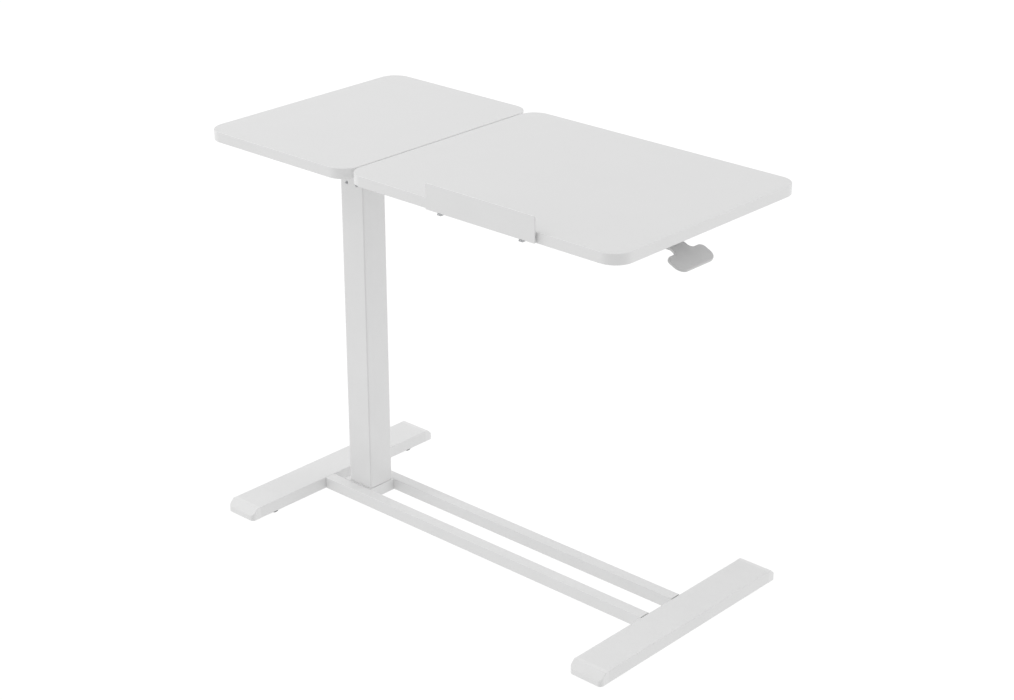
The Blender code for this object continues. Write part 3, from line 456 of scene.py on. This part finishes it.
def add_roller(node):
    """A roller with its trunnions, spun in profile and laid along X."""
    low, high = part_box(node)
    centre = (low + high) / 2
    radius = (high.z - low.z) / 2
    half = (high.x - low.x) / 2
    tread = half - TRUNNION_LENGTH
    profile = [(0, half), (TRUNNION_RADIUS, half), (TRUNNION_RADIUS, tread), (radius - 3 * MM, tread),
               (radius - 1.2 * MM, tread - 0.3 * MM), (radius, tread - 1.5 * MM)]
    for groove in GROOVES:
        z = groove * MM
        profile += [(radius, z + GROOVE_HALF), (radius - GROOVE_DEEP, z), (radius, z - GROOVE_HALF)]
    profile += [(r, -z) for r, z in reversed(profile)]
    bm = spin_mesh(profile, 48)
    turn = Matrix.Translation(centre) @ Matrix.Rotation(math.radians(90), 4, "Y")
    bmesh.ops.transform(bm, matrix=turn, verts=bm.verts)
    return add_piece(node.replace("roller", "roller_tread"), bm, node, RUBBER, (node,))


rollers = [add_roller(node) for node in node_names("roller")]
print("rollers:", ", ".join(r.name for r in rollers))

# %% [markdown]
# ## Socket screws
# Small button-head screws hold the column's head, the boards, the clevises, the stopper and the lever.
# A head is a profile spun open at its top. A six-sided ring is bridged to that round rim and extruded down,
# which gives the hexagon socket as real geometry, and its floor is filled with one face.

# %% Screws
def add_screw(name, body, place, turn, head_radius, head_height, stands_for=(), shank=(0.0, 0.0)):
    """A socket screw whose head sits at place and points along turned Z; shank is (radius, length)."""
    socket = 0.5 * head_radius
    profile = [(socket + 0.1 * MM, head_height), (0.72 * head_radius, head_height),
               (0.93 * head_radius, 0.7 * head_height), (head_radius, 0.3 * head_height), (head_radius, 0)]
    if shank[1]:
        profile += [(shank[0], 0), (shank[0], -shank[1] + shank[0]), (0, -shank[1])]
    else:
        profile += [(0, 0)]
    bm = spin_mesh(profile, 24)
    ring = [e for e in bm.edges if len(e.link_faces) == 1]
    hexagon = bmesh.ops.create_circle(bm, segments=6, radius=socket,
                                      matrix=Matrix.Translation((0, 0, head_height)))
    rim = list({e for v in hexagon["verts"] for e in v.link_edges})
    bmesh.ops.bridge_loops(bm, edges=ring + rim)
    deep = bmesh.ops.extrude_edge_only(bm, edges=rim)["geom"]
    floor_verts = [g for g in deep if isinstance(g, bmesh.types.BMVert)]
    bmesh.ops.translate(bm, vec=(0, 0, -0.7 * head_height), verts=floor_verts)
    bmesh.ops.contextual_create(bm, geom=[g for g in deep if isinstance(g, bmesh.types.BMEdge)])
    bmesh.ops.transform(bm, matrix=Matrix.Translation(place) @ turn, verts=bm.verts)
    return add_piece(name, bm, body, ZINC, stands_for)


POINT_FRONT = Matrix.Rotation(math.radians(90), 4, "X")
POINT_DOWN = Matrix.Rotation(math.radians(180), 4, "X")
POINT_RIGHT = Matrix.Rotation(math.radians(90), 4, "Y")
CLEVIS_HOLES = ((-14, -8.5), (14, -8.5), (14, 8.5), (-14, 8.5))
BRACKET_HOLES = (("front", -11), ("rear", 11))
screws = []
for side in ("left", "right"):
    low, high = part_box("column_screw_" + side)
    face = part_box("column_outer")[0].y
    place = ((low.x + high.x) / 2, face - 0.05 * MM, (low.z + high.z) / 2)
    screws.append(add_screw("column_socket_screw_" + side, "lift", place, POINT_FRONT, 2.5 * MM, 1.35 * MM,
                            ("column_screw_" + side,), (1.5 * MM, 9 * MM)))
for node in node_names("board_screw"):
    low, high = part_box(node)
    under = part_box("arm_front")[0].z - 0.05 * MM
    place = ((low.x + high.x) / 2, (low.y + high.y) / 2, under)
    screws.append(add_screw(node + "_part", "lift", place, POINT_DOWN, 4.5 * MM, 2.6 * MM, (node,),
                            (2.0 * MM, high.z - under)))
for side in ("left", "right"):
    low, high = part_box("hinge_clevis_" + side)
    middle = (low + high) / 2
    for i, (dx, dy) in enumerate(CLEVIS_HOLES):
        place = (middle.x + dx * MM, middle.y + dy * MM, high.z - 2.25 * MM)
        screws.append(add_screw(f"clevis_screw_{side}_{i}", "tilt", place, POINT_DOWN, 3.4 * MM, 2.0 * MM))
    low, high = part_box("stopper_bracket_" + side)
    place = ((low.x + high.x) / 2, high.y - 5 * MM, high.z - 1.65 * MM)
    screws.append(add_screw("stopper_screw_" + side, "tilt", place, POINT_DOWN, 2.3 * MM, 1.4 * MM))
low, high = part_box("lever_bracket")
for side, dy in BRACKET_HOLES:
    place = (low.x + 2.05 * MM, (low.y + high.y) / 2 + dy * MM, high.z - 6 * MM)
    screws.append(add_screw("bracket_screw_" + side, "lift", place, POINT_RIGHT, 3.2 * MM, 1.8 * MM))
print("screws:", len(screws))

# %% [markdown]
# ## The release lever
# The lever is a thick pressed sheet: a narrow neck on the cross pin, a fold, and a wide paddle that slopes
# down so that fingers find its edge. The flat blank comes first, as one face whose corners are rounded one
# by one. It is extruded to its thickness, its rim is rolled round, and only then is it folded, the way a
# press would do it. The fold is spread over 2.4 mm, so that the paint shows a crease and not a cut.

# %% Sheet helper
def blank(corners, thickness, rim, segments=4):
    """A flat blank about z = 0 from (x, y, corner radius) points, with a rounded rim."""
    bm = bmesh.new()
    verts = [bm.verts.new((x, y, -thickness / 2)) for x, y, _ in corners]
    bm.faces.new(verts)
    for vert, (_, _, radius) in zip(verts, corners):
        bmesh.ops.bevel(bm, geom=[vert], offset=radius, offset_type="OFFSET", segments=8, profile=0.5,
                        affect="VERTICES", clamp_overlap=False, material=-1)
    push_out(bm, bm.faces[:], (0, 0, thickness))
    bmesh.ops.recalc_face_normals(bm, faces=bm.faces)
    flat = [e for e in bm.edges if abs(e.verts[0].co.z - e.verts[1].co.z) < thickness / 10]
    round_edges(bm, flat, rim, segments)
    return bm


# %% Lever
PIVOT = Vector(next(j for j in frame["joints"] if j["name"] == "lever_squeeze")["pos_m"])
FOLD_AT = 30 * MM
FOLD_HALF = 1.2 * MM
FOLD_ANGLE = math.radians(25)
LEVER_SHEET = 4.5 * MM
LEVER_RIM = 1.7 * MM
NECK_START, PADDLE_START, PADDLE_END = -3.0, 41.5, 72.3
NECK_HALF, PADDLE_HALF = 15.5, 38.5
BOSS_RADIUS = 4.8 * MM
BOSS_BORE = 2.3 * MM
BOSS_HALF = 14.8 * MM
BOSS_CHAMFER = (0.2 * MM, 0.4 * MM)
half_outline = [(NECK_START, NECK_HALF, 1.0), (PADDLE_START, NECK_HALF, 7.0),
                (PADDLE_START, PADDLE_HALF, 8.5), (PADDLE_END, PADDLE_HALF, 14.0)]
outline = half_outline + [(x, -y, radius) for x, y, radius in reversed(half_outline)]
bm = blank([(x * MM, y * MM, radius * MM) for x, y, radius in outline], LEVER_SHEET, LEVER_RIM, 5)
for step in range(-3, 4):
    everything = bm.verts[:] + bm.edges[:] + bm.faces[:]
    bmesh.ops.bisect_plane(bm, geom=everything, dist=0.001 * MM, plane_no=(1, 0, 0),
                           plane_co=(FOLD_AT + step * FOLD_HALF / 3, 0, 0))
radius = 2 * FOLD_HALF / FOLD_ANGLE
for vert in bm.verts:
    past = vert.co.x - FOLD_AT
    angle = FOLD_ANGLE * min(max((past + FOLD_HALF) / (2 * FOLD_HALF), 0), 1)
    straight = max(past - FOLD_HALF, 0)
    if past > -FOLD_HALF:
        x = -FOLD_HALF + radius * math.sin(angle) + straight * math.cos(angle)
        z = -radius * (1 - math.cos(angle)) - straight * math.sin(angle)
        vert.co.x, vert.co.z = FOLD_AT + x + vert.co.z * math.sin(angle), z + vert.co.z * math.cos(angle)
bmesh.ops.translate(bm, vec=PIVOT, verts=bm.verts)
lever = add_piece("lever_paddle", bm, "lever", LEVER_GREY_AND_SHADE, ("release_lever",), sharp=50)

rim_radius, rim_height = BOSS_RADIUS - BOSS_CHAMFER[0], BOSS_HALF - BOSS_CHAMFER[1]
bm = spin_mesh([(BOSS_BORE, -BOSS_HALF), (rim_radius, -BOSS_HALF), (BOSS_RADIUS, -rim_height),
                (BOSS_RADIUS, rim_height), (rim_radius, BOSS_HALF), (BOSS_BORE, BOSS_HALF),
                (BOSS_BORE, -BOSS_HALF)], 32)
bmesh.ops.transform(bm, matrix=Matrix.Translation(PIVOT) @ POINT_FRONT, verts=bm.verts)
boss = add_piece("lever_boss", bm, "lever", LEVER_GREY_AND_SHADE)

bm = box_mesh(PIVOT + Vector((-2.5, -1.9, -13.7)) * MM, PIVOT + Vector((2.5, 1.9, -4.0)) * MM)
round_edges(bm, bm.edges[:], 0.5 * MM, 2)
pull_arm = add_piece("lever_pull_arm", bm, "lever", ZINC)
print("lever:", len(lever.data.polygons), "faces, folded by", round(math.degrees(FOLD_ANGLE)), "degrees")

# %% [markdown]
# ## The book stopper
# A 2 mm steel strip stands in front of the tilting board so that a book or a tray can't slide off.
# Its two upper corners are cut round and its edges are deburred before painting.

# %% Stopper
low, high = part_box("stopper_plate")
wide, tall, thick = high.x - low.x, high.z - low.z, high.y - low.y
LOWER_CORNER = 1.5 * MM
UPPER_CORNER = 2.5 * MM
STOPPER_RIM = 0.7 * MM
outline = [(-wide / 2, 0, LOWER_CORNER), (wide / 2, 0, LOWER_CORNER),
           (wide / 2, tall, UPPER_CORNER), (-wide / 2, tall, UPPER_CORNER)]
bm = blank(outline, thick, STOPPER_RIM, 3)
stand = Matrix.Translation(((low.x + high.x) / 2, (low.y + high.y) / 2, low.z)) @ POINT_FRONT
bmesh.ops.transform(bm, matrix=stand, verts=bm.verts)
stopper = add_piece("stopper_strip", bm, "stopper", POWDER_COAT, ("stopper_plate",))
print("stopper:", round(wide / MM, 1), "x", round(tall / MM, 1), "x", round(thick / MM, 1), "mm")

# %% [markdown]
# ## Plugs in the open tube ends
# Cut tube is sharp, so every open end under the top is closed with a moulded plug: a thin lip that covers
# the wall and a body that grips the bore. The lip is a box, and the body is extruded from its inset face.

# %% Tube plugs
PLUG_DEPTH = 12 * MM
LIP_INSET = 0.4 * MM


def add_plug(name, low, high, axis, side, wall):
    """A plug for the end of a tube that spans low to high; side is -1 or 1 along the axis."""
    face = high[axis] if side > 0 else low[axis]
    lip = sorted((face + side * 0.05 * MM, face + side * 1.4 * MM))
    box_low = [lip[0] if i == axis else low[i] + LIP_INSET for i in range(3)]
    box_high = [lip[1] if i == axis else high[i] - LIP_INSET for i in range(3)]
    bm = box_mesh(box_low, box_high)
    outer = [e for e in bm.edges if all(abs(v.co[axis] - face) > MM for v in e.verts)]
    round_edges(bm, outer + edges_along(bm, axis), 0.8 * MM, 3)
    inner = [f for f in bm.faces if f.normal[axis] * side < -0.9]
    bmesh.ops.inset_region(bm, faces=inner, thickness=wall - 0.2 * MM, use_even_offset=True)
    push_out(bm, inner, [-side * PLUG_DEPTH if i == axis else 0 for i in range(3)])
    bmesh.ops.delete(bm, geom=inner, context="FACES_ONLY")
    return add_piece(name, bm, "lift", NYLON)


plugs = [add_plug("arm_plug_" + side, *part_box("arm_" + side), 0, -1, 1.5 * MM) for side in ("front", "rear")]
plugs += [add_plug("frame_plug_" + side, *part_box("frame_end"), 1, sign, 1.5 * MM)
          for side, sign in (("front", -1), ("rear", 1))]
print("plugs:", ", ".join(p.name for p in plugs))

# %% [markdown]
# ## The floor
# The table is shown the way a catalogue shows white furniture, on a bright white sweep. The sweep glows,
# which keeps it white under the feet, but its glow is kept off the table, as if it lay far below.
# Seen from below it is clear, so the underside can be looked at too.

# %% Floor
FLOOR_SIZE = 24.0
bm = bmesh.new()
bmesh.ops.create_grid(bm, x_segments=1, y_segments=1, size=FLOOR_SIZE / 2)
mesh = bpy.data.meshes.new("floor")
bm.to_mesh(mesh)
bm.free()
floor = bpy.data.objects.new("floor", mesh)
bpy.context.scene.collection.objects.link(floor)
SWEEP, tree, shader = new_material("studio_sweep_white", "303030", 0.9, Emission_Color=linear("FFFFFF"),
                                   Emission_Strength=0.985)
side = add_node(tree, "ShaderNodeNewGeometry")
clear = add_node(tree, "ShaderNodeBsdfTransparent")
mixed = add_node(tree, "ShaderNodeMixShader", [("Fac", side.outputs["Backfacing"])])
tree.links.new(shader.outputs["BSDF"], mixed.inputs[1])
tree.links.new(clear.outputs["BSDF"], mixed.inputs[2])
tree.links.new(mixed.outputs["Shader"], tree.nodes["Material Output"].inputs["Surface"])
mesh.materials.append(SWEEP)
floor.visible_diffuse = False
floor.visible_glossy = False
print("floor:", FLOOR_SIZE, "m wide")

# %% [markdown]
# ## The light
# White furniture is lit from all round, so that shadows are only a breath of grey. The dome is brightest at
# the horizon, a little dimmer beneath, and dimmest overhead, which keeps tops and sides nearly the same tone.
# A soft flag takes some light away from the side where the camera stands, so the column and the rails stand
# out from the tops. Two long weak strips, high on the left and behind on the right, draw the rounded edges.

# %% Light
DOME_BELOW, DOME_HORIZON, DOME_ZENITH = 1.00, 1.09, 0.76
FLAG_TOWARDS = (0.68, -0.68, -0.28)
FLAG_STARTS = 0.35
FLAG_LEAVES = 0.60
world = bpy.data.worlds.new("white_dome")
bpy.context.scene.world = world
world.use_nodes = True
tree = world.node_tree
place = add_node(tree, "ShaderNodeTexCoord")
height = add_node(tree, "ShaderNodeSeparateXYZ", [("Vector", place.outputs["Generated"])])
level = add_node(tree, "ShaderNodeMapRange", [("Value", height.outputs["Z"])], From_Min=-1.0, From_Max=1.0)
dome = add_node(tree, "ShaderNodeValToRGB", [("Fac", level.outputs["Result"])])
dome.color_ramp.elements.new(0.5)
for step, grey in enumerate((DOME_BELOW, DOME_HORIZON, DOME_ZENITH)):
    dome.color_ramp.elements[step].color = (grey, grey, grey, 1.0)
towards = add_node(tree, "ShaderNodeVectorMath", [("Vector", place.outputs["Generated"])],
                   operation="DOT_PRODUCT")
towards.inputs[1].default_value = FLAG_TOWARDS
flag = add_node(tree, "ShaderNodeMapRange", [("Value", towards.outputs["Value"])],
                interpolation_type="SMOOTHSTEP", From_Min=FLAG_STARTS, From_Max=1.0, To_Min=1.0,
                To_Max=FLAG_LEAVES)
shaded = add_node(tree, "ShaderNodeVectorMath", operation="SCALE",
                  links=[("Scale", flag.outputs["Result"]), ("Vector", dome.outputs["Color"])])
tree.links.new(shaded.outputs["Vector"], tree.nodes["Background"].inputs["Color"])


def add_light(name, place, aim, size, watts):
    """A rectangular area light of this size and power, aimed at a point."""
    lamp = bpy.data.lights.new(name, "AREA")
    lamp.shape = "RECTANGLE"
    lamp.size, lamp.size_y = size
    lamp.energy = watts
    light = bpy.data.objects.new(name, lamp)
    light.location = place
    light.rotation_euler = (Vector(aim) - Vector(place)).to_track_quat("-Z", "Y").to_euler()
    bpy.context.scene.collection.objects.link(light)


TABLE_MIDDLE = (0, 0, 0.4)
add_light("left_strip", (-2.0, -1.1, 2.5), TABLE_MIDDLE, (0.8, 1.6), 12)
add_light("right_strip", (1.9, 2.3, 1.7), TABLE_MIDDLE, (0.8, 2.4), 6)
bpy.context.scene.view_settings.view_transform = "Standard"

# %% [markdown]
# ## The camera
# A 75.5 mm lens looks from the front right, 23.6 degrees above the horizon. At that distance the long top
# converges only a little, as in a catalogue.

# %% Camera
AZIMUTH, ELEVATION, ROLL = math.radians(42.26), math.radians(23.557), math.radians(0.014)
back = Vector((math.sin(AZIMUTH) * math.cos(ELEVATION), -math.cos(AZIMUTH) * math.cos(ELEVATION),
               math.sin(ELEVATION)))
lens = bpy.data.cameras.new("catalogue_view")
lens.lens = 75.50
lens.sensor_width = 36.0
lens.sensor_fit = "HORIZONTAL"
lens.clip_end = 100
camera = bpy.data.objects.new("catalogue_view", lens)
camera.location = (1.9835, -2.1556, 1.6140)
roll = Matrix.Rotation(ROLL, 3, "Z").to_quaternion()
camera.rotation_euler = ((-back).to_track_quat("-Z", "Y") @ roll).to_euler()
bpy.context.scene.collection.objects.link(camera)
bpy.context.scene.camera = camera
print("camera at", [round(v, 3) for v in camera.location])
